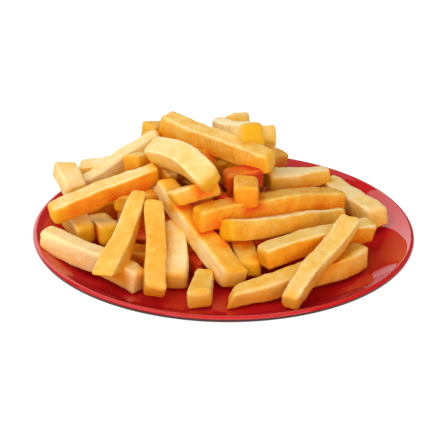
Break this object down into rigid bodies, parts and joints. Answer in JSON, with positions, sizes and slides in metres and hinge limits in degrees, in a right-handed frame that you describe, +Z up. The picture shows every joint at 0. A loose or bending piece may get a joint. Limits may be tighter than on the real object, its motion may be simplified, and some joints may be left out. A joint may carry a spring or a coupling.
{
  "type": "french fries on a plate",
  "caption": "Uneven heap of thick, straight-cut french fries on a round, shallow, glossy red plate with a curved rim, a rounded lip and a foot ring.",
  "frame": {"origin": "on the table, under the middle of the plate's foot ring", "axes": "+Z up; -Y towards the side that the heap is seen from, +X to the right of it"},
  "size_m": [0.2, 0.2, 0.0667],
  "materials": {
    "red_glaze": "gloss",
    "fried_potato": "matte"
  },
  "bodies": {
    "root": {"plate": "red_glaze", "fries": "fried_potato"}
  },
  "joints": []
}
